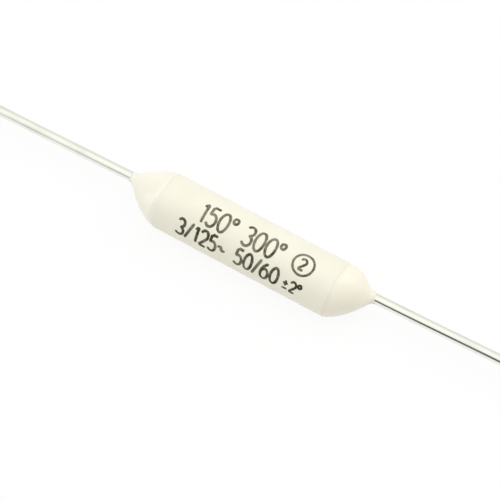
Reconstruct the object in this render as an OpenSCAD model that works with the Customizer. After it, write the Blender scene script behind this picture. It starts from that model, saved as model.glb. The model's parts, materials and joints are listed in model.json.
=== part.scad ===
// Thermal fuse with axial leads: a ceramic tube sealed by two resin domes,
// with a fusible alloy link coated in flux between the two lead wires.
// The tube lies along X with its middle at the origin. Sizes are in millimetres.

/* [Ceramic tube] */
// Outside diameter of the tube
tube_od = 4.4; // [4:0.1:6]
// Length of the tube
tube_len = 14.35; // [13:0.05:20]
// Wall thickness of the tube
tube_wall = 0.5; // [0.3:0.05:0.6]
// Radius of the tumbled outer edges at both ends
tube_edge_r = 0.1; // [0.05:0.01:0.2]

/* [Leads] */
// Diameter of the lead wire
lead_d = 0.8; // [0.5:0.05:1]
// Length of each lead outside its seal
lead_free_len = 35; // [10:1:60]
// Angle between the lead line and the tube's axis, in degrees
lead_tilt = 1.3; // [0:0.1:1.8]
// Thickness of the upset head at each lead's inner end
head_t = 0.35; // [0.2:0.05:0.5]
// How far the head's rim stands out past the link
head_rim = 0.2; // [0.16:0.02:0.26]
// Length of the cone behind the head
head_cone_len = 0.3; // [0.1:0.05:0.5]
// Edge bevel at the cut end of the wire
cut_bevel = 0.05; // [0.02:0.01:0.1]

/* [Seals] */
// Length of the left dome's flank, from the tube's end to the lead
left_flank_len = 2.85; // [2:0.05:3.5]
// Length of the right dome's flank, from the tube's end to the lead
right_flank_len = 2.5; // [2:0.05:3.5]
// Roundness of the left dome: 1 is a straight cone, 2 a full dome
left_roundness = 1.6; // [1.1:0.05:2.2]
// Roundness of the right dome: 1 is a straight cone, 2 a full dome
right_roundness = 1.8; // [1.1:0.05:2.2]
// Depth of each seal inside the tube's bore
seal_depth = 2.2; // [1.5:0.1:2.6]
// Depth of the hollow in each seal's inner face
seal_hollow = 0.25; // [0.1:0.05:0.4]
// How far the dome's rim stands in from the tube's outside
seam_step = 0.05; // [0.02:0.01:0.1]
// Thickness of the resin around the lead where it stops
collar_t = 0.05; // [0.03:0.01:0.15]
// Length along the lead that the resin creeps past the flank
creep_len = 0.4; // [0.25:0.05:0.8]
// Softness of the curve from the flank to the creep
creep_blend = 0.3; // [0.2:0.05:0.5]
// How far the resin sags to one side of the lead at the flank's end
tip_sag = 0.12; // [0:0.01:0.15]

/* [Fusible element] */
// Diameter of the alloy link
link_d = 1.1; // [0.9:0.05:1.15]
// Leg of the weld fillet between the link and a head
weld_leg = 0.12; // [0.05:0.01:0.15]
// Thickness of the flux over the heads' rims
flux_cover = 0.2; // [0.1:0.02:0.24]
// How far the flux runs along the lead behind a head's cone
flux_tail = 0.4; // [0.2:0.05:0.6]
// Gap between the flux and the nearest wall of the bore
element_gap = 0.05; // [0.03:0.01:0.15]
// Air space between the flux and each seal's rim
end_gap = 0.9; // [0.5:0.1:1.2]

/* [Hidden] */
$fn = 72;
// Tube
tube_r = tube_od / 2;
bore_r = tube_r - tube_wall;
tube_half = tube_len / 2;
// Fusible element, counted from the middle outwards
lead_r = lead_d / 2;
link_r = link_d / 2;
weld_r = link_r + weld_leg;
head_r = link_r + head_rim;
flux_r = head_r + flux_cover;
flux_half = tube_half - seal_depth - end_gap;
flux_flat = 0.05;
flux_round = flux_r - lead_r - flux_flat;
head_back = flux_half - flux_tail - head_cone_len;
link_half = head_back - head_t;
// Lead line: the coated element lies against one side of the bore
lead_offset = bore_r - flux_r - element_gap - flux_half * tan(lead_tilt);
function lead_y(x) = lead_offset + x * tan(lead_tilt);
// Domes
rim_r = tube_r - seam_step;
tip_r = lead_r + collar_t;
left_tip_x = -tube_half - left_flank_len - creep_len;
right_tip_x = tube_half + right_flank_len + creep_len;
nose_r = lead_r / 2;
flank_steps = 20;
creep_steps = 8;
creep_root = 0.2;
hollow_r = (bore_r * bore_r + seal_hollow * seal_hollow) / (2 * seal_hollow);

// Largest of two radii with a soft corner of size k between them
function blend_share(a, b, k) = max(0, min(1, 0.5 + (a - b) / (2 * k)));
function soft_max(a, b, k) =
    let (h = blend_share(a, b, k)) b + (a - b) * h + k * h * (1 - h);

// Radius of a dome at distance x from the tube's end: the flank is a rounded cone,
// and the creep softens it into an even sleeve on the lead
function flank_r(x, flank_len, roundness) =
    tip_r + (rim_r - tip_r) * (1 - pow(x / flank_len, roundness));
function creep_r(x, flank_len, roundness) =
    soft_max(flank_r(x, flank_len, roundness), tip_r, creep_blend);

// Puts its children on the lead line, with X along the wire
module on_lead_line() {
    translate([0, lead_offset, 0])
        rotate([0, 0, lead_tilt])
            children();
}

// Turns a half section, drawn as radius and place along the axis, round X
module turned_on_x(section) {
    rotate([0, 90, 0])
        rotate_extrude()
            polygon(section);
}

// Tube section: the bore's wall with rounded outer corners
module tube_section() {
    translate([bore_r, -tube_half])
        square([tube_wall - tube_edge_r, tube_len]);
    translate([bore_r, -tube_half + tube_edge_r])
        square([tube_wall, tube_len - 2 * tube_edge_r]);
    for (end = [-1, 1])
        translate([tube_r - tube_edge_r, end * (tube_half - tube_edge_r)])
            circle(r = tube_edge_r);
}

// Wire with its upset head, from the middle outwards along X to the cut end
module wire(end_x) {
    turned_on_x([
        [0, link_half],
        [head_r, link_half],
        [head_r, head_back],
        [lead_r, head_back + head_cone_len],
        [lead_r, end_x - cut_bevel],
        [lead_r - cut_bevel, end_x],
        [0, end_x]]);
}

// Wire without its bevel, long enough to cut through a whole seal
module wire_bore() {
    on_lead_line()
        rotate([0, 90, 0])
            cylinder(h = 2 * (tube_len + lead_free_len), r = lead_r, center = true);
}

// Flank of a dome on Z = 0: a rounded cone that leans from the tube's round end to
// the lead, with its blunt nose inside the wire
module flank(side, flank_len, roundness) {
    nose_len = flank_len * pow((rim_r - nose_r) / (rim_r - tip_r), 1 / roundness);
    lean = (lead_y(side * (tube_half + flank_len)) - tip_sag) / flank_len;
    multmatrix([[1, 0, 0, 0], [0, 1, lean, 0], [0, 0, 1, 0], [0, 0, 0, 1]])
        rotate_extrude()
            polygon(concat(
                [[0, 0]],
                [for (i = [0 : flank_steps])
                    let (x = nose_len * i / flank_steps) [flank_r(x, flank_len, roundness), x]],
                [[0, nose_len]]));
}

// Creep of a dome: a sleeve of resin on the lead that starts inside the flank
module creep(side, flank_len, roundness) {
    on_lead_line()
        rotate([0, side * 90, 0])
            translate([0, 0, (tube_half + flank_len) / cos(lead_tilt)])
                rotate_extrude()
                    polygon(concat(
                        [[0, -creep_root * flank_len],
                         [creep_r(flank_len, flank_len, roundness), -creep_root * flank_len]],
                        [for (i = [0 : creep_steps])
                            let (x = creep_len * i / creep_steps)
                                [creep_r(flank_len + x, flank_len, roundness), x]],
                        [[0, creep_len]]));
}

// Resin plug below Z = 0, with a hollow inner face
module plug() {
    difference() {
        translate([0, 0, -seal_depth])
            cylinder(h = seal_depth, r = bore_r);
        translate([0, 0, -seal_depth + seal_hollow - hollow_r])
            sphere(r = hollow_r, $fn = 144);
    }
}

module ceramic_tube() {
    color([0.95, 0.93, 0.86])
        rotate([0, 90, 0])
            rotate_extrude()
                tube_section();
}

// Seal at the end of the tube on one side: plug, flank and creep round the wire
module seal(side, flank_len, roundness) {
    difference() {
        union() {
            translate([side * tube_half, 0, 0])
                rotate([0, side * 90, 0]) {
                    flank(side, flank_len, roundness);
                    plug();
                }
            creep(side, flank_len, roundness);
        }
        wire_bore();
    }
}

module left_seal() {
    color([0.94, 0.91, 0.83])
        seal(-1, left_flank_len, left_roundness);
}

module right_seal() {
    color([0.94, 0.91, 0.83])
        seal(1, right_flank_len, right_roundness);
}

module left_lead() {
    color([0.8, 0.8, 0.78])
        on_lead_line()
            rotate([0, 0, 180])
                wire(-left_tip_x / cos(lead_tilt) + lead_free_len);
}

module right_lead() {
    color([0.8, 0.8, 0.78])
        on_lead_line()
            wire(right_tip_x / cos(lead_tilt) + lead_free_len);
}

// Alloy rod with a weld fillet on each head
module fusible_link() {
    color([0.62, 0.63, 0.65])
        on_lead_line()
            turned_on_x([
                [0, -link_half],
                [weld_r, -link_half],
                [link_r, -link_half + weld_leg],
                [link_r, link_half - weld_leg],
                [weld_r, link_half],
                [0, link_half]]);
}

// Bead of flux with rounded ends, hollowed by the link and both heads
module flux_section() {
    translate([0, -flux_half])
        square([flux_r - flux_round, 2 * flux_half]);
    translate([0, -flux_half + flux_round])
        square([flux_r, 2 * (flux_half - flux_round)]);
    for (end = [-1, 1])
        translate([flux_r - flux_round, end * (flux_half - flux_round)])
            intersection() {
                circle(r = flux_round);
                translate([0, -flux_round])
                    square([flux_round, 2 * flux_round]);
            }
}

module flux() {
    color([0.78, 0.52, 0.2])
        difference() {
            on_lead_line()
                rotate([0, 90, 0])
                    rotate_extrude()
                        flux_section();
            fusible_link();
            left_lead();
            right_lead();
        }
}

ceramic_tube();
left_seal();
right_seal();
left_lead();
right_lead();
fusible_link();
flux();
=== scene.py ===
"""Looks of an axial-lead thermal fuse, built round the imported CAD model.

A cream ceramic tube is closed by two resin seals that lean to the off-centre tinned
leads, and plain numbers are printed on the tube. Sizes are in millimetres until a
surface becomes a mesh, which is in metres.
"""

import json
import logging
import math
from dataclasses import dataclass
from enum import Enum
from typing import Optional, Union

import bpy
import numpy as np
from mathutils import Matrix, Vector


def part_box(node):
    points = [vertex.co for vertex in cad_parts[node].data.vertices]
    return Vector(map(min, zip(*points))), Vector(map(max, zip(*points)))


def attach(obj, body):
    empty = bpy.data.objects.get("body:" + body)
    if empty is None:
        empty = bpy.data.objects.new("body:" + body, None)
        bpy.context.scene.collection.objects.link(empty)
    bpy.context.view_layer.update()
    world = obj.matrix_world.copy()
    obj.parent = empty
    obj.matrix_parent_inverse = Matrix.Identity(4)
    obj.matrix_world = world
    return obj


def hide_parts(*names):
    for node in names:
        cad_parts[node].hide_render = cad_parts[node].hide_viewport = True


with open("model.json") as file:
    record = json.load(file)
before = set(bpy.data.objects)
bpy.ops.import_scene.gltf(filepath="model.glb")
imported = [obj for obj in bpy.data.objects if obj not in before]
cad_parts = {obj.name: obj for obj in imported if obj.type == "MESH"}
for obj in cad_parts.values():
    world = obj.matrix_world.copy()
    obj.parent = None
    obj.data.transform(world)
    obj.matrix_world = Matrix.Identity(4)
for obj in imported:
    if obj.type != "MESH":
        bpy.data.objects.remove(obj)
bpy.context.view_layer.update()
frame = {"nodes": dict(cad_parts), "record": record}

MM = 0.001
TAU = 2 * math.pi
BODY = "root"
WHITE = (1.0, 1.0, 1.0)
LOG = logging.getLogger("thermal_fuse")

Colour = tuple[float, float, float]
Place = tuple[float, float, float]
Operand = Union["Socket", float, int]


class Socket:
    """Output socket of a shader node, with arithmetic that adds Math nodes."""

    def __init__(self, tree: "Tree", output: Optional[bpy.types.NodeSocket]) -> None:
        """Keeps the socket and the tree that it belongs to.

        Args:
            tree: tree that new Math nodes go into.
            output: socket to wrap, or none for a node that ends the tree.
        """
        self.tree = tree
        self.output = output

    def __add__(self, other: Operand) -> "Socket":
        """Sum of two values."""
        return self.tree.math("ADD", self, other)

    def __sub__(self, other: Operand) -> "Socket":
        """This value less the other."""
        return self.tree.math("SUBTRACT", self, other)

    def __rsub__(self, other: Operand) -> "Socket":
        """The other value less this one."""
        return self.tree.math("SUBTRACT", other, self)

    def __mul__(self, other: Operand) -> "Socket":
        """Product of two values."""
        return self.tree.math("MULTIPLY", self, other)

    __radd__ = __add__
    __rmul__ = __mul__


class Tree:
    """Node tree of a material or of the world, emptied and filled by a finish."""

    def __init__(self, nodes: bpy.types.NodeTree) -> None:
        """Empties the tree.

        Args:
            nodes: node tree to fill.
        """
        self.nodes = nodes
        nodes.nodes.clear()

    def node(
        self,
        kind: str,
        settings: Optional[dict] = None,
        inputs: Optional[dict] = None,
        output: Union[int, str] = 0,
    ) -> Socket:
        """Adds one node of any type.

        Args:
            kind: node type, such as ShaderNodeTexNoise.
            settings: properties, set before the sockets.
            inputs: values or links by socket name or number.
            output: output socket to return.

        Returns:
            The chosen output socket.
        """
        made = self.nodes.nodes.new(kind)
        for key, value in (settings or {}).items():
            setattr(made, key, value)
        for key, value in (inputs or {}).items():
            if isinstance(value, Socket):
                self.nodes.links.new(value.output, made.inputs[key])
            elif made.inputs[key].type == "RGBA":
                made.inputs[key].default_value = (*value, 1.0)
            else:
                made.inputs[key].default_value = value
        return Socket(self, made.outputs[output] if made.outputs else None)

    def math(self, operation: str, a: Operand, b: Operand) -> Socket:
        """Math node on two values."""
        return self.node("ShaderNodeMath", {"operation": operation}, {0: a, 1: b})

    def millimetres(self) -> Socket:
        """Object coordinates in millimetres."""
        place = self.node("ShaderNodeTexCoord", output="Object")
        return self.stretch(place, (1 / MM, 1 / MM, 1 / MM))

    def stretch(self, vector: Socket, factors: Place) -> Socket:
        """Vector multiplied axis by axis."""
        return self.node("ShaderNodeVectorMath", {"operation": "MULTIPLY"}, {0: vector, 1: factors})

    def noise(self, place: Socket, scale: float, detail: float = 3.0) -> Socket:
        """Soft noise around 0.5, with features about 1 / scale long."""
        return self.node(
            "ShaderNodeTexNoise", inputs={"Vector": place, "Scale": scale, "Detail": detail}
        )

    def cells(self, place: Socket, scale: float) -> Socket:
        """Distance to the nearest of scattered points, in cells."""
        return self.node("ShaderNodeTexVoronoi", inputs={"Vector": place, "Scale": scale})

    def step(self, value: Socket, low: float, high: float) -> Socket:
        """Smooth step that is 0 at low and 1 at high, whichever of them is the larger.

        Args:
            value: value to test.
            low: where the step starts.
            high: where it ends.

        Returns:
            Height of the step.
        """
        rising = low < high
        return self.node(
            "ShaderNodeMapRange",
            {"interpolation_type": "SMOOTHSTEP"},
            {
                "Value": value,
                "From Min": min(low, high),
                "From Max": max(low, high),
                "To Min": 0.0 if rising else 1.0,
                "To Max": 1.0 if rising else 0.0,
            },
        )

    def mix(self, share: Operand, a: Union[Socket, Colour], b: Union[Socket, Colour]) -> Socket:
        """Colour that goes from a to b as share goes from 0 to 1."""
        return self.node(
            "ShaderNodeMix", {"data_type": "RGBA"}, {0: share, 6: a, 7: b}, output=2
        )

    def bump(self, height: Socket, depth: float) -> Socket:
        """Normal of a surface whose height varies by depth millimetres."""
        return self.node("ShaderNodeBump", inputs={"Distance": depth * MM, "Height": height})

    def principled(self, **inputs: Union[Socket, Colour, float]) -> Socket:
        """Principled shader, with socket names written with underscores."""
        named = {key.replace("_", " "): value for key, value in inputs.items()}
        return self.node("ShaderNodeBsdfPrincipled", inputs=named)

    def output(self, shader: Socket, kind: str = "ShaderNodeOutputMaterial") -> None:
        """Links a shader to the tree's output."""
        self.node(kind, inputs={"Surface": shader})

    def seen(self) -> tuple[Socket, Socket]:
        """Light path tests.

        Returns:
            1 on camera rays, and 1 on camera, glossy and transmission rays.
        """
        path = self.node("ShaderNodeLightPath", output="Is Camera Ray")
        outputs = path.output.node.outputs
        mirrored = self.math(
            "MAXIMUM",
            Socket(self, outputs["Is Glossy Ray"]),
            Socket(self, outputs["Is Transmission Ray"]),
        )
        return path, self.math("MAXIMUM", path, mirrored)


@dataclass(frozen=True)
class Finish:
    """Surface finish that makes its own procedural material.

    Attributes:
        name: name of the material.
    """

    name: str

    def material(self) -> bpy.types.Material:
        """Makes the material.

        Returns:
            New material with the finish's node tree.
        """
        made = bpy.data.materials.new(self.name)
        made.use_nodes = True
        tree = Tree(made.node_tree)
        tree.output(self.shader(tree))
        return made

    def shader(self, tree: Tree) -> Socket:
        """Builds the finish's nodes; each finish has its own.

        Args:
            tree: tree to build in.

        Returns:
            Shader output.
        """
        raise NotImplementedError


@dataclass(frozen=True)
class FiredCeramic(Finish):
    """Unglazed fired ceramic: cream, clouded, finely grained, with rare iron specks."""

    body: Colour = (0.885, 0.86, 0.727)
    warm: Colour = (0.86, 0.82, 0.68)
    iron: Colour = (0.42, 0.36, 0.26)

    def shader(self, tree: Tree) -> Socket:
        """Clouds and specks colour it, grain gives the bump and the uneven gloss.

        Args:
            tree: tree to build in.

        Returns:
            Shader output.
        """
        place = tree.millimetres()
        cloud = tree.step(tree.noise(place, scale=0.5), 0.35, 0.7)
        grain = tree.noise(place, scale=16.0, detail=4.0)
        pits = tree.step(tree.cells(place, scale=5.0), 0.16, 0.05)
        specks = tree.step(tree.cells(place, scale=0.9), 0.045, 0.02)
        colour = tree.mix(cloud * 0.6, self.body, self.warm)
        colour = tree.mix(specks * 0.55, colour, self.iron)
        return tree.principled(
            Base_Color=colour,
            Roughness=0.42 + grain * 0.2,
            Normal=tree.bump(grain - pits * 0.8, depth=0.006),
            IOR=1.56,
            Sheen_Weight=0.2,
            Sheen_Roughness=0.4,
            Subsurface_Weight=0.12,
            Subsurface_Radius=(0.5, 0.4, 0.25),
            Subsurface_Scale=0.4 * MM,
        )


@dataclass(frozen=True)
class CastResin(Finish):
    """Filled casting resin: satin, a little translucent, cloudy, with fine pinholes, and a painted
    highlight on the bead along the seam.

    Attributes:
        body: colour of the resin.
        thick: colour of its darker clouds.
        skin: colour of a painted highlight on the bead along the seam. It is lighter than the resin
            and stands in for the light that the bead catches.
        skin_at: X and Y of the painted highlight's middle.
        skin_half: half of the painted highlight's size along X and Y.
        skin_edge: squared distances, in halves, where its soft edge ends and starts.
    """

    body: Colour = (0.92, 0.876, 0.733)
    thick: Colour = (0.9, 0.83, 0.672)
    skin: Colour = (0.932, 0.892, 0.755)
    skin_at: tuple[float, float] = (7.52, 0.95)
    skin_half: tuple[float, float] = (0.2, 0.6)
    skin_edge: tuple[float, float] = (1.5, 0.3)

    def streak(self, tree: Tree, place: Socket) -> Socket:
        """Share of the painted highlight: 1 inside an ellipse over X and Y, with a soft edge.

        Args:
            tree: tree to build in.
            place: object coordinates in millimetres.

        Returns:
            Share of the painted highlight.
        """
        distance = 0.0
        for axis, at, half in zip("XY", self.skin_at, self.skin_half):
            along = tree.node("ShaderNodeSeparateXYZ", inputs={0: place}, output=axis)
            along = (along - at) * (1 / half)
            distance = distance + along * along
        return tree.step(distance, *self.skin_edge)

    def shader(self, tree: Tree) -> Socket:
        """Clouds colour it, a painted highlight lightens the bead along the seam, and pinholes and
        flow waves give the bump.

        Args:
            tree: tree to build in.

        Returns:
            Shader output.
        """
        place = tree.millimetres()
        cloud = tree.step(tree.noise(place, scale=0.7), 0.35, 0.7)
        flow = tree.noise(place, scale=3.0)
        filler = tree.noise(place, scale=22.0)
        pinholes = tree.step(tree.cells(place, scale=2.4), 0.11, 0.05)
        streak = self.streak(tree, place)
        colour = tree.mix(cloud * 0.7, self.body, self.thick)
        colour = tree.mix(pinholes * 0.25, colour, self.thick)
        return tree.principled(
            # painted highlight: the bead along the seam is drawn lighter, and a little smoother, to
            # stand in for the light that it catches
            Base_Color=tree.mix(streak, colour, self.skin),
            Roughness=0.24 + flow * 0.12 - streak * 0.06,
            Normal=tree.bump(flow + filler * 0.06 - pinholes * 0.6, depth=0.006),
            IOR=1.53,
            Coat_Weight=0.12,
            Coat_Roughness=0.16,
            Sheen_Weight=0.2,
            Sheen_Roughness=0.4,
            Subsurface_Weight=0.2,
            Subsurface_Radius=(1.0, 0.75, 0.45),
            Subsurface_Scale=0.12 * MM,
        )


@dataclass(frozen=True)
class TinnedWire(Finish):
    """Bright tin plate on drawn wire: lines along the wire and faint dull patches."""

    bright: Colour = (0.868, 0.876, 0.795)
    dull: Colour = (0.74, 0.745, 0.668)

    def shader(self, tree: Tree) -> Socket:
        """Noise drawn out along X gives the lines, and soft noise the dull patches.

        Args:
            tree: tree to build in.

        Returns:
            Shader output.
        """
        place = tree.millimetres()
        drawn = tree.stretch(place, (0.15, 9.0, 9.0))
        lines = tree.noise(drawn, scale=1.0, detail=4.0)
        smeared = tree.stretch(place, (0.5, 1.6, 1.6))
        patches = tree.step(tree.noise(smeared, scale=1.0), 0.45, 0.75)
        return tree.principled(
            Base_Color=tree.mix(patches * 0.5, self.bright, self.dull),
            Metallic=1.0,
            Roughness=0.1 + lines * 0.12 + patches * 0.1,
            Normal=tree.bump(lines, depth=0.002),
        )


@dataclass(frozen=True)
class FusibleAlloy(Finish):
    """Low-melting alloy: dull grey metal with a coarse crystal pattern."""

    light: Colour = (0.6, 0.61, 0.63)
    dark: Colour = (0.42, 0.43, 0.46)

    def shader(self, tree: Tree) -> Socket:
        """Cells give the crystals, and noise the frosted surface.

        Args:
            tree: tree to build in.

        Returns:
            Shader output.
        """
        place = tree.millimetres()
        crystals = tree.step(tree.cells(place, scale=3.0), 0.1, 0.6)
        frost = tree.noise(place, scale=20.0)
        return tree.principled(
            Base_Color=tree.mix(crystals, self.light, self.dark),
            Metallic=1.0,
            Roughness=0.35 + frost * 0.2,
            Normal=tree.bump(crystals + frost * 0.5, depth=0.01),
        )


@dataclass(frozen=True)
class AmberFlux(Finish):
    """Rosin flux: clear amber with darker clouds."""

    clear: Colour = (0.78, 0.5, 0.16)
    deep: Colour = (0.6, 0.31, 0.06)

    def shader(self, tree: Tree) -> Socket:
        """Clouds colour it, and slow waves give the poured surface.

        Args:
            tree: tree to build in.

        Returns:
            Shader output.
        """
        place = tree.millimetres()
        cloud = tree.step(tree.noise(place, scale=0.9), 0.35, 0.7)
        waves = tree.noise(place, scale=2.5)
        return tree.principled(
            Base_Color=tree.mix(cloud, self.clear, self.deep),
            Roughness=0.12 + waves * 0.15,
            Normal=tree.bump(waves, depth=0.02),
            IOR=1.53,
            Transmission_Weight=0.7,
        )


@dataclass(frozen=True)
class PadInk(Finish):
    """Dark pad-printing ink, thin in places, and a little thinner and lighter towards the top of
    the tube.
    """

    full: Colour = (0.042, 0.038, 0.015)
    thin: Colour = (0.33, 0.315, 0.21)

    def shader(self, tree: Tree) -> Socket:
        """Fine and coarse noise and the height on the tube say where the ink is thin.

        Args:
            tree: tree to build in.

        Returns:
            Shader output.
        """
        place = tree.millimetres()
        height = tree.node("ShaderNodeSeparateXYZ", inputs={0: place}, output="Z")
        towards_top = tree.step(height, 1.5, 2.1)
        coarse, fine = tree.noise(place, scale=1.1), tree.noise(place, scale=9.0)
        ink_thinness = coarse * 0.6 + fine * 0.4 + towards_top * 0.06
        cover = tree.step(ink_thinness, 0.42, 0.66)
        return tree.principled(
            Base_Color=tree.mix(cover * 0.75, self.full, self.thin),
            Roughness=0.55 + cover * 0.2,
            IOR=1.5,
            Specular_IOR_Level=0.22,
        )


@dataclass(frozen=True)
class WhiteFloor(Finish):
    """White sweep: shows as white, with a share of its real light so that shadows stay."""

    colour: Colour = (0.92, 0.92, 0.91)
    shadow_share: float = 0.1

    def shader(self, tree: Tree) -> Socket:
        """Plain diffuse for the light it throws back, mostly white where it is seen.

        Args:
            tree: tree to build in.

        Returns:
            Shader output.
        """
        plain = tree.node("ShaderNodeBsdfDiffuse", inputs={"Color": self.colour})
        glow = tree.node("ShaderNodeEmission", inputs={"Color": WHITE, "Strength": 1.0})
        shown = tree.node(
            "ShaderNodeMixShader", inputs={0: self.shadow_share, 1: glow, 2: plain}
        )
        return tree.node("ShaderNodeMixShader", inputs={0: tree.seen()[1], 1: plain, 2: shown})


class Ends(Enum):
    """How the first and last ring of a skin are closed."""

    LOOP = "the last ring joins the first"
    POLES = "a point closes each end"


@dataclass(frozen=True)
class Skin:
    """Closed surface made of rings, or several such surfaces of one size.

    Attributes:
        rings: array of shape (surfaces, rings, points round, 3), in millimetres.
        ends: how the first and last ring are closed.
    """

    rings: np.ndarray
    ends: Ends

    def points(self) -> np.ndarray:
        """All points, surface by surface; a pole is the mean of its end ring.

        Returns:
            Array of shape (surfaces, points, 3).
        """
        count = len(self.rings)
        flat = self.rings.reshape(count, -1, 3)
        if self.ends is Ends.LOOP:
            return flat
        first = self.rings[:, 0].mean(axis=1, keepdims=True)
        last = self.rings[:, -1].mean(axis=1, keepdims=True)
        return np.concatenate([flat, first, last], axis=1)

    def faces(self) -> tuple[np.ndarray, np.ndarray]:
        """Faces of one surface: a quad from each ring to the next, and a fan at each pole.

        Returns:
            Quads and triangles, as point numbers.
        """
        rows, round_ = self.rings.shape[1:3]
        here = np.arange(rows * round_).reshape(rows, round_)
        side = np.roll(here, -1, axis=1)
        if self.ends is Ends.LOOP:
            low, low_side = np.roll(here, -1, axis=0), np.roll(side, -1, axis=0)
            top, top_side = here, side
        else:
            low, low_side = here[1:], side[1:]
            top, top_side = here[:-1], side[:-1]
        quads = np.stack([top, top_side, low_side, low], axis=-1).reshape(-1, 4)
        if self.ends is Ends.LOOP:
            return quads, np.zeros((0, 3), int)
        first = np.full(round_, rows * round_)
        head = np.stack([first, side[0], here[0]], axis=-1)
        tail = np.stack([first + 1, here[-1], side[-1]], axis=-1)
        return quads, np.concatenate([head, tail])

    def piece(self, name: str, finish: Finish, slot: str) -> bpy.types.Object:
        """Makes the mesh object, with its faces outwards, and puts it on the body.

        Args:
            name: name of the piece.
            finish: finish of its surface.
            slot: material slot of the record that it belongs to; not used.

        Returns:
            New object at the origin, with its place in its mesh.
        """
        points = self.points()
        quads, tris = self.faces()
        corners = points[0][np.concatenate([quads[:, :3], quads[:, [0, 2, 3]], tris])]
        volume = np.einsum("ij,ij->", corners[:, 0], np.cross(corners[:, 1], corners[:, 2]))
        if volume < 0:
            quads, tris = quads[:, ::-1], tris[:, ::-1]
        start = np.arange(len(points))[:, None, None] * points.shape[1]
        faces = (start + quads).reshape(-1, 4).tolist() + (start + tris).reshape(-1, 3).tolist()
        mesh = bpy.data.meshes.new(name)
        mesh.from_pydata((points.reshape(-1, 3) * MM).tolist(), [], faces)
        mesh.shade_smooth()
        mesh.materials.append(finish.material())
        made = bpy.data.objects.new(name, mesh)
        bpy.context.scene.collection.objects.link(made)
        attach(made, BODY)
        LOG.info("%s: %d faces", name, len(faces))
        return made


@dataclass(frozen=True)
class Wave:
    """One wave of a surface's unevenness.

    Attributes:
        height: height, in millimetres.
        lobes: whole waves round the ring.
        pitch: length of a wave along the axis, in millimetres.
        phase: place of its crest, in radians.
    """

    height: float
    lobes: int
    pitch: float
    phase: float


def unevenness(waves: tuple[Wave, ...], along: np.ndarray, turn: np.ndarray) -> np.ndarray:
    """Sum of cosine waves that run round a ring and along its axis.

    Args:
        waves: waves to add.
        along: places along the axis, in millimetres.
        turn: angles round the ring.

    Returns:
        Height at each place.
    """
    parts = [w.height * np.cos(w.lobes * turn + TAU * along / w.pitch + w.phase) for w in waves]
    return np.sum(np.broadcast_arrays(*parts), axis=0)


def soft_max(a: np.ndarray, b: np.ndarray, k: float) -> np.ndarray:
    """Larger of two values, with a soft corner of size k where they cross."""
    share = np.clip(0.5 + (a - b) / (2 * k), 0, 1)
    return b + (a - b) * share + k * share * (1 - share)


def quarter(steps: int) -> tuple[np.ndarray, np.ndarray]:
    """Sine and cosine of a quarter turn in even steps, both ends left out."""
    angle = np.linspace(0, math.pi / 2, steps + 2)[1:-1]
    return np.sin(angle), np.cos(angle)


def rings_of(steps: int) -> np.ndarray:
    """Angles round a ring in even steps."""
    return np.linspace(0, TAU, steps, endpoint=False)


@dataclass(frozen=True)
class LeadLine:
    """Straight line in the plane Z = 0 that both leads lie on.

    Attributes:
        offset: its Y where it passes the middle of the tube.
        slope: its rise in Y for each millimetre along X.
    """

    offset: float
    slope: float

    @classmethod
    def from_record(cls, record: dict) -> "LeadLine":
        """Takes the line from the two lead mounts, which are at the leads' tips.

        Args:
            record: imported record.

        Returns:
            The line through both tips.
        """
        tips = {m["name"]: np.array(m["pos_m"]) / MM for m in record["mounts"]}
        left, right = tips["left_lead"], tips["right_lead"]
        slope = (right[1] - left[1]) / (right[0] - left[0])
        return cls(left[1] - slope * left[0], slope)

    def y(self, x: np.ndarray) -> np.ndarray:
        """Y of the line at x."""
        return self.offset + self.slope * x


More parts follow.
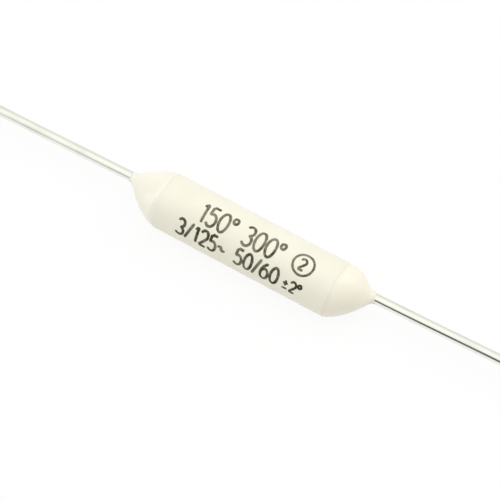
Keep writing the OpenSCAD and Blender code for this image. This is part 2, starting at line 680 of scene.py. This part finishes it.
@dataclass(frozen=True)
class CeramicTube:
    """Fired tube: a ring-shaped section carried round the X axis.

    Attributes:
        half_len: half of its length.
        radius: outside radius of the CAD tube.
        wall: wall thickness.
        edge_r: radius of the tumbled outer edges.
        bore_bevel: bevel at both ends of the bore.
        room: depth left under the CAD radius for the unevenness and the ink.
        points_round: points round each ring.
        outside_rings: rings along the outside.
        edge_rings: rings on each rounded edge.
        face_rings: rings on each end face.
        bore_rings: rings along the bore.
        waves: unevenness of the outside.
    """

    half_len: float
    radius: float
    wall: float = 0.5
    edge_r: float = 0.1
    bore_bevel: float = 0.04
    room: float = 0.012
    points_round: int = 192
    outside_rings: int = 130
    edge_rings: int = 7
    face_rings: int = 5
    bore_rings: int = 40
    waves: tuple[Wave, ...] = (
        Wave(0.002, 2, 60.0, 0.4),
        Wave(0.0015, 3, 9.0, 2.0),
        Wave(0.001, 5, -5.5, 4.1),
    )

    @classmethod
    def from_frame(cls) -> "CeramicTube":
        """Takes length and radius from the CAD node."""
        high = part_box("ceramic_tube")[1] / MM
        return cls(half_len=high.x, radius=high.y)

    @property
    def skin_r(self) -> float:
        """Mean radius of the outside."""
        return self.radius - self.room

    @property
    def bore_r(self) -> float:
        """Radius of the bore."""
        return self.radius - self.wall

    def outside(self, x: np.ndarray, turn: np.ndarray) -> np.ndarray:
        """Radius of the uneven outside at x, turned from +Z towards +Y."""
        return self.skin_r + unevenness(self.waves, x, turn)

    def build(self, finish: Finish) -> None:
        """Makes the tube: outside, rounded edge, end face, bore, and back to the start.

        Args:
            finish: finish of the tube.
        """
        turn = rings_of(self.points_round)[None, :]
        sine, cosine = quarter(self.edge_rings)
        straight = self.half_len - self.edge_r
        outside_x = np.linspace(-straight, straight, self.outside_rings)
        edge_x = straight + self.edge_r * sine
        edge_drop = self.edge_r * (1 - cosine)
        end_x = np.full(self.face_rings, self.half_len)
        face_end = self.wall - self.bore_bevel
        face = np.linspace(self.edge_r, face_end, self.face_rings) - self.room
        bore_end = self.half_len - self.bore_bevel
        bore_x = np.linspace(bore_end, -bore_end, self.bore_rings)
        x = np.concatenate([outside_x, edge_x, end_x, bore_x, -end_x, -edge_x[::-1]])[:, None]
        drop = np.concatenate([
            np.zeros(self.outside_rings),
            edge_drop,
            face,
            np.full(self.bore_rings, self.wall - self.room),
            face[::-1],
            edge_drop[::-1],
        ])[:, None]
        depth = np.clip(drop / (self.wall - self.room), 0, 1)
        radius = self.skin_r - drop + unevenness(self.waves, x, turn) * (1 - depth)
        x = np.broadcast_to(x, radius.shape)
        rings = np.stack([x, radius * np.sin(turn), radius * np.cos(turn)], axis=-1)
        made = Skin(rings[None], Ends.LOOP).piece("tube_fired", finish, "ceramic")
        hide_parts("ceramic_tube")


class Side(Enum):
    """End of the tube, with its sign along X."""

    LEFT = -1
    RIGHT = 1

    @property
    def word(self) -> str:
        """Name used in the nodes' names."""
        return self.name.lower()


@dataclass(frozen=True)
class SeamBead:
    """Bead of resin along the seam between the dome and the tube.

    Attributes:
        height: height of the bead over the dome.
        at: distance of the bead's crest from the tube's end.
        width: half width of the bead.
        sunk: share of its height that it loses on its +Y side.
        waves: unevenness of the bead, as a share of its height.
    """

    height: float
    at: float
    width: float = 0.14
    sunk: float = 0.9
    waves: tuple[Wave, ...] = (Wave(0.2, 3, 50.0, 1.9), Wave(0.12, 7, 50.0, 0.3))

    def rise(self, out: np.ndarray, turn: np.ndarray) -> np.ndarray:
        """Height over the dome: a bell curve over the distance from the tube's end.

        The bead sinks towards +Y, the side to which the domes lean.

        Args:
            out: distance of the ring from the tube's end.
            turn: angles round the lead, from +Y.

        Returns:
            Height at each angle.
        """
        bead = np.exp(-np.square((out - self.at) / self.width))
        bead = bead * (1 + unevenness(self.waves, out, turn))
        return self.height * bead * (1 - self.sunk * np.clip(np.cos(turn), 0, 1))


@dataclass(frozen=True)
class DomeShape:
    """Shape of a dome.

    Attributes:
        roundness: 1 is a straight cone, 2 a full dome.
        sag: how far the dome's tip sags to -Y of the lead.
        pull: how far the sleeve's end is drawn back on its +Y side.
    """

    roundness: float
    sag: float
    pull: float


@dataclass(frozen=True)
class ResinSeal:
    """Resin seal: a plug in the bore, a leaning dome outside and a sleeve on the lead.

    Every ring is given by its reach: the distance from the lead's centre at each angle.

    Attributes:
        side: end of the tube that it closes.
        tube: tube that it sits in.
        line: line of the lead through it.
        reach: length of the dome and its sleeve outside the tube.
        depth: depth of the plug.
        shape: shape of the dome.
        bead: bead along the seam.
        lead_r: radius of the lead.
        rim_r: radius of the dome at the tube's end.
        sleeve_t: thickness of the sleeve on the lead.
        sleeve_end: thickness of the sleeve where it stops.
        creep_len: length of the sleeve past the flank.
        creep_blend: softness of the curve from flank to sleeve.
        meniscus: length of the rounding where the sleeve stops.
        pull_power: power of the distance by which the pull grows towards the sleeve's end.
        pull_turn: angle of the strongest pull, from +Y.
        hollow: depth of the hollow in the plug's inner face.
        touch: angle on the tube's rounded edge up to which the resin wets it, in degrees.
        points_round: points round each ring.
        dome_rings: rings along the dome and its sleeve.
        crowding: power that crowds those rings towards the seam.
        tip_rings: rings on the meniscus.
        hole_rings: rings along the lead's hole.
        face_rings: rings on the plug's inner face.
        plug_rings: rings along the plug.
        edge_rings: rings on the wetted edge.
        waves: unevenness of the dome.
    """

    side: Side
    tube: CeramicTube
    line: LeadLine
    reach: float
    depth: float
    shape: DomeShape
    bead: SeamBead
    lead_r: float = 0.4
    rim_r: float = 2.15
    sleeve_t: float = 0.05
    sleeve_end: float = 0.02
    creep_len: float = 0.4
    creep_blend: float = 0.25
    meniscus: float = 0.06
    pull_power: int = 4
    pull_turn: float = 0.4
    hollow: float = 0.25
    touch: float = 28.0
    points_round: int = 160
    dome_rings: int = 110
    crowding: float = 1.15
    tip_rings: int = 4
    hole_rings: int = 12
    face_rings: int = 13
    plug_rings: int = 11
    edge_rings: int = 6
    waves: tuple[Wave, ...] = (
        Wave(0.008, 2, 7.0, 1.1),
        Wave(0.006, 3, -3.1, 0.2),
        Wave(0.004, 5, 1.9, 2.6),
    )

    @classmethod
    def from_frame(
        cls,
        side: Side,
        tube: CeramicTube,
        line: LeadLine,
        shape: DomeShape,
        bead: SeamBead,
    ) -> "ResinSeal":
        """Takes the seal's reach and depth from its CAD node.

        Args:
            side: end of the tube.
            tube: tube that it sits in.
            line: line of the leads.
            shape: shape of the dome.
            bead: bead along the seam.

        Returns:
            The seal.
        """
        low, high = (corner.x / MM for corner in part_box(f"{side.word}_seal"))
        inner, outer = sorted((abs(low), abs(high)))
        reach, depth = outer - tube.half_len, tube.half_len - inner
        return cls(side, tube, line, reach, depth, shape, bead)

    @property
    def flank_len(self) -> float:
        """Length of the flank, from the tube's end to the sleeve."""
        return self.reach - self.creep_len

    def lead_y(self, out: np.ndarray) -> np.ndarray:
        """Y of the lead's centre at a distance out from the tube's end."""
        return self.line.y(self.side.value * (self.tube.half_len + out))

    def circle(self, out: np.ndarray, turn: np.ndarray, y: np.ndarray, r: np.ndarray) -> np.ndarray:
        """Reach from the lead's centre to a circle round another centre.

        The reach is the far root of the line and circle equation, and 0 where the line
        misses the circle.

        Args:
            out: distance of the ring from the tube's end.
            turn: angles round the lead, from +Y.
            y: Y of the circle's centre.
            r: radius of the circle.

        Returns:
            Reach at each angle.
        """
        shift = y - self.lead_y(out)
        inside = np.square(r) - np.square(shift * np.sin(turn))
        reach = shift * np.cos(turn) + np.sqrt(np.maximum(inside, 0))
        return np.where(inside > 0, np.maximum(reach, 0), 0)

    def dome(self, out: np.ndarray, turn: np.ndarray) -> np.ndarray:
        """Reach of the dome: a leaning rounded cone that softens into the sleeve.

        Its radius falls from the rim by a power of the distance, its centre goes in a
        straight line to a point beside the lead, a bead follows the seam, and the sleeve
        thins evenly to its end.

        Args:
            out: distance of the ring from the tube's end.
            turn: angles round the lead, from +Y.

        Returns:
            Reach at each angle.
        """
        tip_r = self.lead_r + self.sleeve_t
        gone = np.power(np.maximum(out, 0) / self.flank_len, self.shape.roundness)
        swell = np.sin(math.pi * np.clip(out / self.reach, 0, 1))
        radius = tip_r + (self.rim_r - tip_r) * (1 - gone) + self.bead.rise(out, turn)
        crest = sum(wave.height for wave in self.waves)
        radius = radius + swell * (unevenness(self.waves, out, turn) - crest)
        lean = (self.lead_y(self.flank_len) - self.shape.sag) / self.flank_len
        flank = self.circle(out, turn, lean * np.maximum(out, 0), np.maximum(radius, 0))
        crept = np.clip((out - self.flank_len) / self.creep_len, 0, 1)
        sleeve = tip_r - (self.sleeve_t - self.sleeve_end) * crept
        return soft_max(flank, sleeve, self.creep_blend)

    def bands(self, turn: np.ndarray) -> list[tuple[np.ndarray, np.ndarray]]:
        """Rings of the seal in bands: dome, meniscus, hole, inner face, plug, wetted edge.

        The meniscus and the wetted edge are arcs, and the inner face goes in even shares
        from the lead to the bore.

        Args:
            turn: angles round the lead, from +Y.

        Returns:
            Distance out from the tube's end and reach from the lead, band by band.
        """
        sine, cosine = (part[:, None] for part in quarter(self.tip_rings))
        edge_r, bore_r = self.tube.edge_r, self.tube.bore_r
        touch = math.radians(self.touch)
        start = edge_r * (math.sin(touch) - 1)
        share = np.linspace(0, 1, self.dome_rings)[:, None] ** self.crowding
        dome_out = share * (self.reach - self.meniscus - start) + start
        dome = self.dome(dome_out, turn)
        tip_out = self.reach - self.meniscus * (1 - sine)
        tip = self.lead_r + (dome[-1:] - self.lead_r) * cosine
        hole_out = np.linspace(self.reach, self.hollow - self.depth, self.hole_rings)[:, None]
        hole = np.full((self.hole_rings, turn.size), self.lead_r)
        face_out = np.full((self.face_rings, 1), -self.depth)
        face_share = np.linspace(0, 1, self.face_rings + 1)[1:, None]
        wall = self.circle(face_out, turn, 0.0, bore_r)
        face = self.lead_r + (wall - self.lead_r) * face_share
        plug_out = np.linspace(-self.depth, 0, self.plug_rings + 1)[1:, None]
        plug = self.circle(plug_out, turn, 0.0, bore_r)
        edge_turn = np.linspace(math.pi / 2, touch, self.edge_rings + 1)[:-1, None]
        edge_out = edge_r * (np.sin(edge_turn) - 1)
        edge_round = self.tube.skin_r - edge_r + edge_r * np.cos(edge_turn)
        edge = self.circle(edge_out, turn, 0.0, edge_round)
        return [
            (dome_out, dome),
            (tip_out, tip),
            (hole_out, hole),
            (face_out, face),
            (plug_out, plug),
            (edge_out, edge),
        ]

    def build(self, finish: Finish) -> None:
        """Makes the seal, with its sleeve's end drawn back and its inner face hollowed.

        The pull grows by a power of the distance, and the hollow is a paraboloid.

        Args:
            finish: finish of the resin.
        """
        turn = rings_of(self.points_round)[None, :]
        bands = self.bands(turn)
        out = np.concatenate([np.broadcast_to(o, r.shape) for o, r in bands])
        reach = np.concatenate([r for _, r in bands])
        pulled = np.power(np.clip(out / self.reach, 0, 1), self.pull_power)
        pulled = pulled * (0.5 + 0.5 * np.cos(turn - self.pull_turn))
        out = out - self.shape.pull * pulled
        y = self.lead_y(out) + reach * np.cos(turn)
        z = reach * np.sin(turn)
        rows = np.cumsum([len(r) for _, r in bands])
        face = slice(rows[2], rows[3])
        spread = (np.square(y) + np.square(z))[face] / self.tube.bore_r**2
        out[face] += self.hollow * (1 - np.clip(spread, 0, 1))
        x = self.side.value * (self.tube.half_len + out)
        made = Skin(np.stack([x, y, z], axis=-1)[None], Ends.LOOP)
        piece = made.piece(f"{self.side.word}_resin", finish, "resin")
        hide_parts(f"{self.side.word}_seal")


@dataclass(frozen=True)
class LeadWire:
    """Tinned wire with an upset head: a profile turned about the lead line.

    Attributes:
        side: end of the tube that it leaves.
        line: line that it lies on.
        end: distance of its cut end from the tube's middle, along the line.
        sway: height of the slow bends in the free wire.
        radius: radius of the wire.
        head_r: radius of the upset head.
        head_at: distance of the head's face from the tube's middle.
        head_t: thickness of the head.
        cone_len: length of the cone behind the head.
        fillet: rounding of the head's rim.
        bevel: rounding of the cut end.
        free_from: distance from which the wire is free of the seal.
        sway_len: length of one bend.
        inset: distance that the cut end stays inside the CAD wire.
        points_round: points round each ring.
        wire_rings: rings along the wire.
        arc_rings: rings on each rounding.
        face_rings: rings on each end face.
        head_hub: innermost ring of the head's face, as a share of the face.
        cut_hub: innermost ring of the cut end, as a share of its face.
    """

    side: Side
    line: LeadLine
    end: float
    sway: float
    radius: float = 0.4
    head_r: float = 0.75
    head_at: float = 3.15
    head_t: float = 0.35
    cone_len: float = 0.3
    fillet: float = 0.06
    bevel: float = 0.05
    free_from: float = 10.5
    sway_len: float = 22.0
    inset: float = 0.005
    points_round: int = 56
    wire_rings: int = 190
    arc_rings: int = 5
    face_rings: int = 5
    head_hub: float = 0.1
    cut_hub: float = 0.15

    @classmethod
    def from_record(cls, side: Side, line: LeadLine, record: dict, sway: float) -> "LeadWire":
        """Takes the cut end from the lead's mount.

        Args:
            side: end of the tube.
            line: line of the leads.
            record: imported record.
            sway: height of the slow bends.

        Returns:
            The lead.
        """
        tips = {m["name"]: m["pos_m"] for m in record["mounts"]}
        x = abs(tips[f"{side.word}_lead"][0]) / MM
        return cls(side, line, x * math.hypot(1, line.slope) - cls.inset, sway)

    def profile(self) -> tuple[np.ndarray, np.ndarray]:
        """Half section from the head's face to the cut end.

        Returns:
            Distances along the line, and radii.
        """
        sine, cosine = quarter(self.arc_rings)
        back = self.head_at + self.head_t
        face = np.linspace(self.head_hub, 1, self.face_rings) * (self.head_r - self.fillet)
        wire = np.linspace(back + self.cone_len, self.end - self.bevel, self.wire_rings)
        cut = np.linspace(1, self.cut_hub, self.face_rings) * (self.radius - self.bevel)
        along = np.concatenate([
            np.full(self.face_rings, self.head_at),
            self.head_at + self.fillet * (1 - cosine),
            [self.head_at + self.fillet, back],
            wire,
            self.end - self.bevel * (1 - sine),
            np.full(self.face_rings, self.end),
        ])
        radius = np.concatenate([
            face,
            self.head_r - self.fillet * (1 - sine),
            [self.head_r, self.head_r],
            np.full(self.wire_rings, self.radius),
            self.radius - self.bevel * (1 - cosine),
            cut,
        ])
        return along, radius

    def build(self, finish: Finish) -> None:
        """Makes the wire, with slow bends to +Y that grow from nothing at the seal.

        A bend is half of its height times 1 less the cosine of the distance.

        Args:
            finish: finish of the wire.
        """
        along, radius = self.profile()
        turn = rings_of(self.points_round)[None, :]
        phase = TAU * np.maximum(along - self.free_from, 0) / self.sway_len
        bend = (self.sway * (1 - np.cos(phase)) / 2)[:, None]
        tilt = math.atan(self.line.slope)
        across = radius[:, None] * np.cos(turn) + bend
        up = radius[:, None] * np.sin(turn)
        out = self.side.value * along[:, None]
        x = out * math.cos(tilt) - across * math.sin(tilt)
        y = self.line.offset + out * math.sin(tilt) + across * math.cos(tilt)
        made = Skin(np.stack([x, y, up], axis=-1)[None], Ends.POLES)
        piece = made.piece(f"{self.side.word}_wire", finish, "tinned_copper")
        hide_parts(f"{self.side.word}_lead")


@dataclass(frozen=True)
class FuseElement:
    """Hidden element: the alloy link and its coat of flux, which keep their CAD form."""

    nodes: dict

    def dress(self, alloy: Finish, flux: Finish) -> None:
        """Gives the two CAD nodes their finishes.

        Args:
            alloy: finish of the link.
            flux: finish of the flux.
        """
        for name, finish in (("fusible_link", alloy), ("flux", flux)):
            self.nodes[name].material_slots[0].material = finish.material()
            LOG.info("%s: %s", name, finish.name)


@dataclass(frozen=True)
class Stretch:
    """Stretch of an ellipse in a numeral; one with no height and width is a point.

    Attributes:
        x: X of the centre.
        y: Y of the centre.
        rx: half width.
        ry: half height.
        start: first angle, in degrees.
        stop: last angle, in degrees.
    """

    x: float
    y: float
    rx: float = 0.0
    ry: float = 0.0
    start: float = 0.0
    stop: float = 0.0

    def points(self, count: int = 40) -> np.ndarray:
        """Points along the stretch, in even steps of its angle.

        Args:
            count: number of points.

        Returns:
            Array of shape (points, 2).
        """
        angle = np.radians(np.linspace(self.start, self.stop, count))
        return np.stack(
            [self.x + self.rx * np.cos(angle), self.y + self.ry * np.sin(angle)], axis=-1
        )


@dataclass(frozen=True)
class Sign:
    """Printed sign: its width, and strokes that are each a chain of stretches."""

    width: float
    strokes: tuple[tuple[Stretch, ...], ...]


def bar(x0: float, y0: float, x1: float, y1: float) -> tuple[Stretch, ...]:
    """Straight stroke between two points."""
    return (Stretch(x0, y0), Stretch(x1, y1))


SIGNS: dict[str, Sign] = {
    " ": Sign(0.3, ()),
    "0": Sign(0.56, ((Stretch(0.28, 0.5, 0.28, 0.5, 90, 475),),)),
    "1": Sign(0.34, (bar(0.06, 0.8, 0.26, 1.0), bar(0.26, 1.0, 0.26, 0.0))),
    "2": Sign(
        0.54,
        (
            (Stretch(0.28, 0.72, 0.26, 0.28, 165, -35), Stretch(0.02, 0.0)),
            bar(0.02, 0.0, 0.54, 0.0),
        ),
    ),
    "3": Sign(
        0.54,
        (
            (Stretch(0.25, 0.76, 0.25, 0.24, 155, -95),),
            (Stretch(0.25, 0.26, 0.28, 0.26, 95, -155),),
        ),
    ),
    "5": Sign(
        0.54,
        (
            bar(0.08, 1.0, 0.5, 1.0),
            bar(0.08, 1.0, 0.06, 0.54),
            (Stretch(0.25, 0.32, 0.28, 0.32, 135, -150),),
        ),
    ),
    "6": Sign(
        0.56,
        (
            (Stretch(0.56, 0.32, 0.55, 0.67, 105, 180),),
            (Stretch(0.28, 0.32, 0.27, 0.32, 180, 560),),
        ),
    ),
    "°": Sign(0.3, ((Stretch(0.15, 0.84, 0.14, 0.15, 90, 480),),)),
    "~": Sign(
        0.5,
        ((Stretch(0.13, 0.45, 0.13, 0.1, 180, 20), Stretch(0.37, 0.45, 0.13, 0.1, 200, 360)),),
    ),
    "/": Sign(0.4, (bar(0.0, -0.05, 0.4, 1.05),)),
    "±": Sign(
        0.5, (bar(0.0, 0.6, 0.5, 0.6), bar(0.25, 0.35, 0.25, 0.85), bar(0.0, 0.1, 0.5, 0.1))
    ),
    "ring": Sign(1.0, ((Stretch(0.5, 0.5, 0.5, 0.5, 90, 470),),)),
}


@dataclass(frozen=True)
class PrintRow:
    """Row of plain numbers along the tube.

    Attributes:
        signs: names of the signs, in order.
        x: X of the row's start.
        turn: angle of its base line round the tube, from +Z towards +Y, in degrees.
        height: height of a numeral.
        width: width of a numeral as a share of the drawn width.
        stroke: width of the strokes.
        gap: space between signs, in heights.
    """

    signs: tuple[str, ...]
    x: float
    turn: float
    height: float
    width: float
    stroke: float
    gap: float = 0.17

    def paths(self, points: int) -> tuple[np.ndarray, np.ndarray]:
        """Strokes of the row, laid flat.

        Points are closer near a stroke's ends, where its round cap is.

        Args:
            points: number of points along each stroke.

        Returns:
            Array of shape (strokes, points, 2), and distances along each stroke.
        """
        paths, runs = [], []
        at = 0.0
        for name in self.signs:
            sign = SIGNS[name]
            for stroke in sign.strokes:
                drawn = np.concatenate([part.points() for part in stroke])
                flat = np.stack([(at + drawn[:, 0]) * self.width, drawn[:, 1]], axis=-1)
                flat = flat * self.height
                step = np.hypot(*np.diff(flat, axis=0).T)
                run = np.concatenate([[0.0], np.cumsum(step)])
                even = run[-1] * (1 - np.cos(np.linspace(0, math.pi, points))) / 2
                paths.append(np.stack([np.interp(even, run, flat[:, k]) for k in (0, 1)], -1))
                runs.append(even)
            at += sign.width + self.gap
        return np.array(paths), np.array(runs)


@dataclass(frozen=True)
class PrintedNumbers:
    """Ink on the tube: every stroke is a flat lens-shaped section carried along its path.

    Attributes:
        tube: tube that it is printed on.
        rows: rows of numbers.
        ink_t: height of the ink over the ceramic.
        sunk: depth of the ink's underside in the ceramic.
        ragged: unevenness of the ink's edges, as a share of the stroke.
        ragged_waves: its waves along and across the row, in radians per millimetre.
        blunt: distance from a stroke's end at which its cap stops, in half strokes.
        stroke_rings: rings along each stroke.
        points_round: points round each ring.
    """

    tube: CeramicTube
    rows: tuple[PrintRow, ...]
    ink_t: float = 0.006
    sunk: float = 0.004
    ragged: float = 0.07
    ragged_waves: tuple[float, float] = (23.0, 17.0)
    blunt: float = 0.02
    stroke_rings: int = 46
    points_round: int = 10

    def build(self, finish: Finish) -> None:
        """Makes all strokes as one piece.

        Args:
            finish: finish of the ink.
        """
        rings = np.concatenate([self.strokes(row) for row in self.rows])
        Skin(rings, Ends.POLES).piece("printed_numbers", finish, "ceramic")

    def strokes(self, row: PrintRow) -> np.ndarray:
        """Strokes of one row on the tube.

        A stroke is half its width to each side of its path, drawn in to a round cap at
        both ends, and as high as the ink is thick.

        Args:
            row: row to print.

        Returns:
            Array of shape (strokes, points along, points round, 3).
        """
        path, run = row.paths(self.stroke_rings)
        slope = np.gradient(path, axis=1)
        slope /= np.linalg.norm(slope, axis=-1, keepdims=True)
        aside = np.stack([-slope[..., 1], slope[..., 0]], axis=-1)
        half = row.stroke / 2
        from_end = np.minimum(run, run[:, -1:] - run)
        cap = np.sqrt(1 - np.square(1 - np.clip(from_end / half, self.blunt, 1)))
        along, across = self.ragged_waves
        wobble = 1 + self.ragged * np.sin(along * path[..., 0] + across * path[..., 1])
        section = rings_of(self.points_round)
        spread = (half * cap * wobble)[..., None] * np.cos(section)
        rise = np.where(np.sin(section) > 0, self.ink_t, self.sunk) * np.sin(section)
        flat = path[:, :, None, :] + spread[..., None] * aside[:, :, None, :]
        x = row.x + flat[..., 0]
        turn = math.radians(row.turn) + flat[..., 1] / self.tube.skin_r
        radius = self.tube.outside(x, turn) + rise * cap[..., None]
        return np.stack([x, radius * np.sin(turn), radius * np.cos(turn)], axis=-1)


@dataclass(frozen=True)
class Softbox:
    """Square lamp aimed at the tube.

    Attributes:
        name: name of the lamp.
        at: place of its middle.
        power: power, in watts.
        size: width.
        mirrored: whether shiny surfaces show the lamp.
    """

    name: str
    at: Place
    power: float
    size: float
    mirrored: bool = True

    def build(self) -> None:
        """Makes the lamp."""
        lamp = bpy.data.lights.new(self.name, "AREA")
        lamp.shape = "SQUARE"
        lamp.size = self.size * MM
        lamp.energy = self.power
        made = bpy.data.objects.new(self.name, lamp)
        place = Vector(self.at) * MM
        turn = place.to_track_quat("Z", "Y").to_matrix().to_4x4()
        made.matrix_world = Matrix.Translation(place) @ turn
        made.visible_glossy = self.mirrored
        bpy.context.scene.collection.objects.link(made)


@dataclass(frozen=True)
class Studio:
    """White sweep, softboxes, pale tent and camera.

    Attributes:
        floor_z: height of the floor.
        floor_half: half of the floor's width.
        tent: light of the tent on the object.
        horizon: share of that light left near the horizon.
        dimming: sines of the heights where the tent starts and ends to dim.
        gap_at: direction of the dark gap in the tent, below the camera.
        gap_core: cosine of the gap's dark core.
        gap_edge: cosine of the gap's soft edge.
        gap_depth: share of the light that is missing in the gap.
        softboxes: lamps: one overhead with a faint panel that shows in metal, and one
            on each side.
        azimuth: turn of the camera from -Y, in degrees.
        elevation: height of the camera over the horizon, in degrees.
        distance: distance of the camera from its target.
        aim: target's place right and up of the tube's middle, in the picture's plane.
        lens: focal length.
        sensor: width of the camera's sensor.
        near: distance from which the camera shows things.
    """

    floor_z: float = -2.2
    floor_half: float = 1500.0
    tent: float = 0.71
    horizon: float = 0.78
    dimming: tuple[float, float] = (0.72, 0.2)
    gap_at: Place = (0.16, -0.9, 0.42)
    gap_core: float = 0.97
    gap_edge: float = 0.88
    gap_depth: float = 0.93
    softboxes: tuple[Softbox, ...] = (
        Softbox("overhead_softbox", (-40.0, 20.0, 345.0), 0.338, size=280.0, mirrored=False),
        Softbox("overhead_panel", (-62.0, -8.0, 330.0), 0.057, size=360.0),
        Softbox("left_softbox", (-290.0, -180.0, 70.0), 0.262, size=220.0),
        Softbox("right_softbox", (187.0, 192.0, 261.0), 0.327, size=280.0),
    )
    azimuth: float = 30.05
    elevation: float = 66.0
    distance: float = 150.0
    aim: tuple[float, float] = (-0.051, -0.387)
    lens: float = 148.0
    sensor: float = 36.0
    near: float = 5.0

    def build(self, floor_finish: Finish) -> None:
        """Makes the floor, the light and the camera.

        Args:
            floor_finish: finish of the floor.
        """
        self.floor(floor_finish)
        for softbox in self.softboxes:
            softbox.build()
        self.tent_light()
        self.camera()
        bpy.context.scene.view_settings.view_transform = "Standard"

    def floor(self, finish: Finish) -> None:
        """Makes the flat floor under the tube.

        Args:
            finish: finish of the floor.
        """
        corner = np.array([[-1, -1], [1, -1], [1, 1], [-1, 1]]) * self.floor_half
        points = np.column_stack([corner, np.full(4, self.floor_z)]) * MM
        mesh = bpy.data.meshes.new("sweep")
        mesh.from_pydata(points.tolist(), [], [[0, 1, 2, 3]])
        mesh.materials.append(finish.material())
        floor = bpy.data.objects.new("sweep", mesh)
        bpy.context.scene.collection.objects.link(floor)

    def tent_light(self) -> None:
        """Makes the world: an even tent, white where it is seen, with one dark gap."""
        world = bpy.data.worlds.new("tent")
        bpy.context.scene.world = world
        world.use_nodes = True
        tree = Tree(world.node_tree)
        heading = tree.node("ShaderNodeTexCoord", output="Generated")
        facing = tree.node(
            "ShaderNodeVectorMath",
            {"operation": "DOT_PRODUCT"},
            {0: heading, 1: Vector(self.gap_at).normalized()},
            output="Value",
        )
        gap = tree.step(facing, self.gap_edge, self.gap_core) * self.gap_depth
        camera_ray, seen = tree.seen()
        height = tree.node("ShaderNodeSeparateXYZ", inputs={0: heading}, output="Z")
        low = tree.step(height, *self.dimming) * (1 - self.horizon)
        level = (self.tent + seen * (1 - self.tent)) * (1 - low * (1 - camera_ray))
        strength = level * (1 - gap * (1 - camera_ray))
        shader = tree.node("ShaderNodeBackground", inputs={"Color": WHITE, "Strength": strength})
        tree.output(shader, "ShaderNodeOutputWorld")

    def camera(self) -> None:
        """Makes the camera at the photograph's viewing angle."""
        a, e = math.radians(self.azimuth), math.radians(self.elevation)
        right = Vector((math.cos(a), math.sin(a), 0))
        up = Vector((-math.sin(a) * math.sin(e), math.cos(a) * math.sin(e), math.cos(e)))
        back = right.cross(up)
        place = (right * self.aim[0] + up * self.aim[1] + back * self.distance) * MM
        data = bpy.data.cameras.new("camera")
        data.sensor_fit = "HORIZONTAL"
        data.sensor_width = self.sensor
        data.lens = self.lens
        data.clip_start = self.near * MM
        made = bpy.data.objects.new("camera", data)
        turn = Matrix((right, up, back)).transposed().to_4x4()
        made.matrix_world = Matrix.Translation(place) @ turn
        bpy.context.scene.collection.objects.link(made)
        bpy.context.scene.camera = made


PRINT_ROWS = (
    PrintRow(tuple("150° 300°"), x=-3.93, turn=-28.0, height=1.5, width=0.84, stroke=0.215),
    PrintRow(tuple("3/125~"), x=-5.13, turn=-73.0, height=1.34, width=0.8, stroke=0.225),
    PrintRow(tuple("50/60"), x=-0.28, turn=-73.0, height=1.34, width=0.8, stroke=0.225),
    PrintRow(tuple("±2°"), x=3.72, turn=-71.5, height=0.95, width=0.9, stroke=0.195),
    PrintRow(("ring",), x=3.75, turn=-29.5, height=1.6, width=1.0, stroke=0.19),
    PrintRow(("2",), x=4.25, turn=-19.5, height=0.85, width=1.0, stroke=0.19),
)


def main() -> None:
    """Builds the fuse piece by piece, then the studio."""
    logging.basicConfig(level=logging.INFO, format="%(name)s %(message)s")
    record = frame["record"]
    line = LeadLine.from_record(record)
    tube = CeramicTube.from_frame()
    tube.build(FiredCeramic("fired_ceramic"))
    left_resin = CastResin(
        "left_cast_resin",
        body=(0.905, 0.882, 0.754),
        thick=(0.89, 0.855, 0.71),
        # painted highlight on the left seam's bead, much lighter than the resin
        skin=(0.965, 0.94, 0.81),
        skin_at=(-7.5, -0.7),
        skin_half=(0.15, 0.55),
    )
    # the right resin keeps the default painted highlight on its seam's bead
    right_resin = CastResin("right_cast_resin")
    high_bead = (Wave(0.8, 2, 50.0, -3.5), Wave(0.15, 5, 50.0, 0.3))
    left_bead = SeamBead(height=0.048, at=0.34, waves=high_bead)
    left_dome = DomeShape(roundness=1.69, sag=0.12, pull=0.1)
    ResinSeal.from_frame(Side.LEFT, tube, line, left_dome, left_bead).build(left_resin)
    right_bead = SeamBead(height=0.012, at=0.18)
    right_dome = DomeShape(roundness=1.8, sag=0.2, pull=0.3)
    ResinSeal.from_frame(Side.RIGHT, tube, line, right_dome, right_bead).build(right_resin)
    for side, sway in ((Side.LEFT, 0.008), (Side.RIGHT, 0.075)):
        wire = LeadWire.from_record(side, line, record, sway)
        wire.build(TinnedWire(f"{side.word}_tinned_wire"))
    FuseElement(frame["nodes"]).dress(FusibleAlloy("fusible_alloy"), AmberFlux("amber_flux"))
    PrintedNumbers(tube, PRINT_ROWS).build(PadInk("pad_ink"))
    Studio(floor_z=-tube.radius).build(WhiteFloor("white_floor"))


if __name__ == "__main__":
    main()
